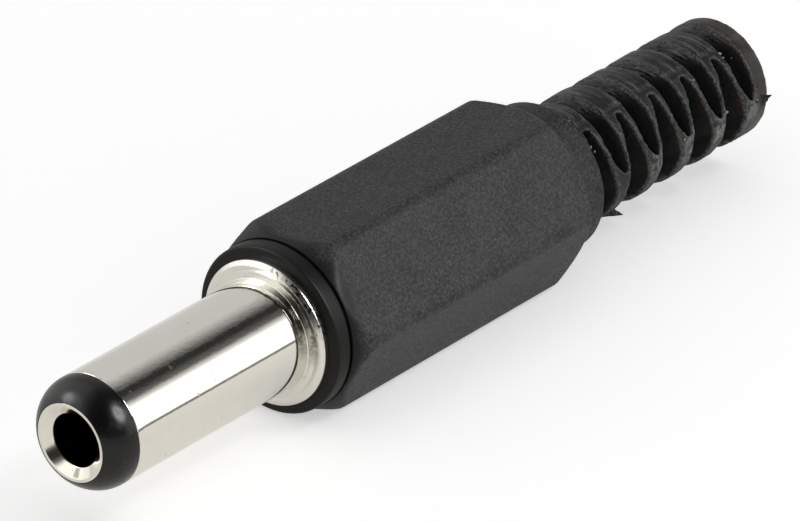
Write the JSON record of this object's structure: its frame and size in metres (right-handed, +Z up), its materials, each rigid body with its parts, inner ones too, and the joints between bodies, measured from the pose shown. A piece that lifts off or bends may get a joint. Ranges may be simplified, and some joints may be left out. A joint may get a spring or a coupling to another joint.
{
  "type": "dc barrel plug",
  "caption": "Solder-type DC barrel plug: nickel barrel and flange, centre contact in an insulating nose, hexagonal screw-on cover with a slotted strain relief.",
  "frame": {"origin": "centre of the flange's front face, on the plug's axis", "axes": "+X along the plug's axis from the tip towards the cable; +Z up, square to the hexagon flat that the plug lies on"},
  "size_m": [0.0471, 0.0096, 0.0084],
  "materials": {
    "nickel": "bright nickel plate",
    "contact_nickel": "bright nickel plate on brass",
    "nose_plastic": "smooth moulded",
    "cover_plastic": "fine grained moulding",
    "fibre": "pressed fibre",
    "tinned_lug": "tinned brass sheet"
  },
  "bodies": {
    "core": {"outer_sleeve": "nickel", "nose_insulator": "nose_plastic", "centre_contact": "contact_nickel", "insulating_washer": "fibre", "centre_lug": "tinned_lug", "sleeve_lug": "tinned_lug"},
    "cover": {"cover": "cover_plastic"}
  },
  "joints": [
    {"name": "cover_off", "type": "slide", "parent": "core", "child": "cover", "axis": [1, 0, 0], "range_m": [0, 0.02]}
  ]
}
